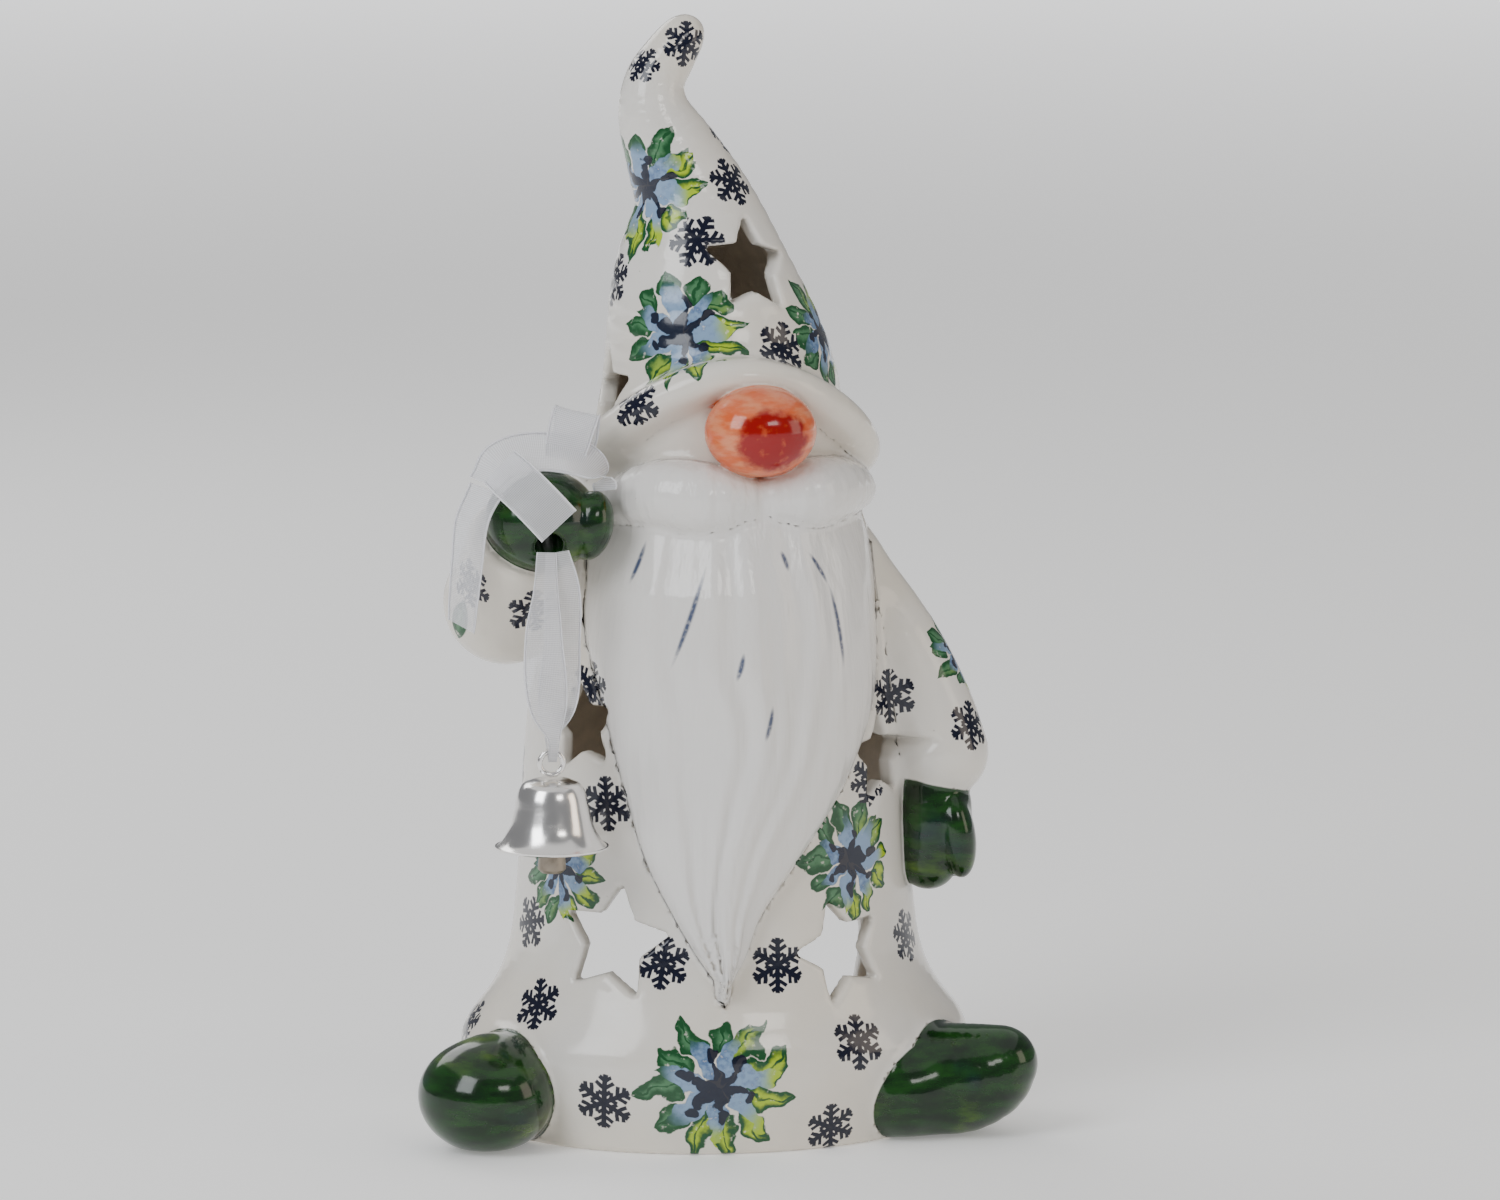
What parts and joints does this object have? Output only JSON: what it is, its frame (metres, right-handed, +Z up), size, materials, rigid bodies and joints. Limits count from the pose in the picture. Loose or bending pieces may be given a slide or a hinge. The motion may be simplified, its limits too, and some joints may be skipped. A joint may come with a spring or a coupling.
{
  "type": "tomte gnome figurine lantern",
  "caption": "Glazed stoneware gnome lantern with star piercings, a rear candle arch, and a bell on a ribbon threaded through its raised fist.",
  "frame": {"origin": "on the surface that the figure stands on, under the middle of the robe's flat foot", "axes": "+Z up, the figure faces -Y, +X is a viewer's right when facing the figure"},
  "size_m": [0.1419, 0.095, 0.25],
  "materials": {
    "white_glaze": "glossy ivory glaze with stamped dark blue snowflakes and blue, green and lime flowers",
    "beard_glaze": "glossy white glaze with faint grey-blue brush strokes",
    "nose_glaze": "glossy orange glaze with a mottled red middle",
    "green_glaze": "glossy deep green glaze with visible brush strokes",
    "sheer_ribbon": "sheer white organza",
    "bell_metal": "bright silvered, lightly brushed",
    "clapper_metal": "dull grey",
    "candle_cup": "thin pressed cup",
    "candle_wax": "soft white wax",
    "wick_cotton": "waxed cotton"
  },
  "bodies": {
    "figurine": {"robe_shell": "white_glaze", "hat_shell": "white_glaze", "hat_brim": "white_glaze", "beard": "beard_glaze", "moustache": "beard_glaze", "nose": "nose_glaze", "raised_sleeve": "white_glaze", "raised_mitten": "green_glaze", "hanging_sleeve": "white_glaze", "hanging_mitten": "green_glaze", "left_boot": "green_glaze", "right_boot": "green_glaze", "ribbon_front_tail": "sheer_ribbon", "ribbon_left_tail": "sheer_ribbon", "ribbon_upper_loop": "sheer_ribbon", "ribbon_side_loop": "sheer_ribbon"},
    "ribbon_drop": {"ribbon_front_strand": "sheer_ribbon", "ribbon_rear_strand": "sheer_ribbon", "ribbon_fold": "sheer_ribbon"},
    "bell": {"bell_shell": "bell_metal", "bell_loop": "bell_metal"},
    "clapper": {"clapper_wire": "clapper_metal", "clapper_weight": "clapper_metal"},
    "tealight": {"tealight_cup": "candle_cup", "tealight_wax": "candle_wax", "wick": "wick_cotton"}
  },
  "joints": [
    {"name": "ribbon_swing", "type": "hinge", "parent": "figurine", "child": "ribbon_drop", "pos_m": [-0.04324, -0.03968, 0.13555], "axis": [-1, 0, 0], "range_deg": [-2, 30]},
    {"name": "bell_sway", "type": "hinge", "parent": "ribbon_drop", "child": "bell", "pos_m": [-0.04324, -0.03968, 0.09205], "axis": [0, 1, 0], "range_deg": [-12, 14]},
    {"name": "clapper_swing", "type": "hinge", "parent": "bell", "child": "clapper", "pos_m": [-0.04324, -0.03968, 0.08445], "axis": [1, 0, 0], "range_deg": [-18, 18]},
    {"name": "tealight_slide", "type": "slide", "parent": "figurine", "child": "tealight", "axis": [0, 1, 0], "range_m": [0, 0.045]}
  ]
}
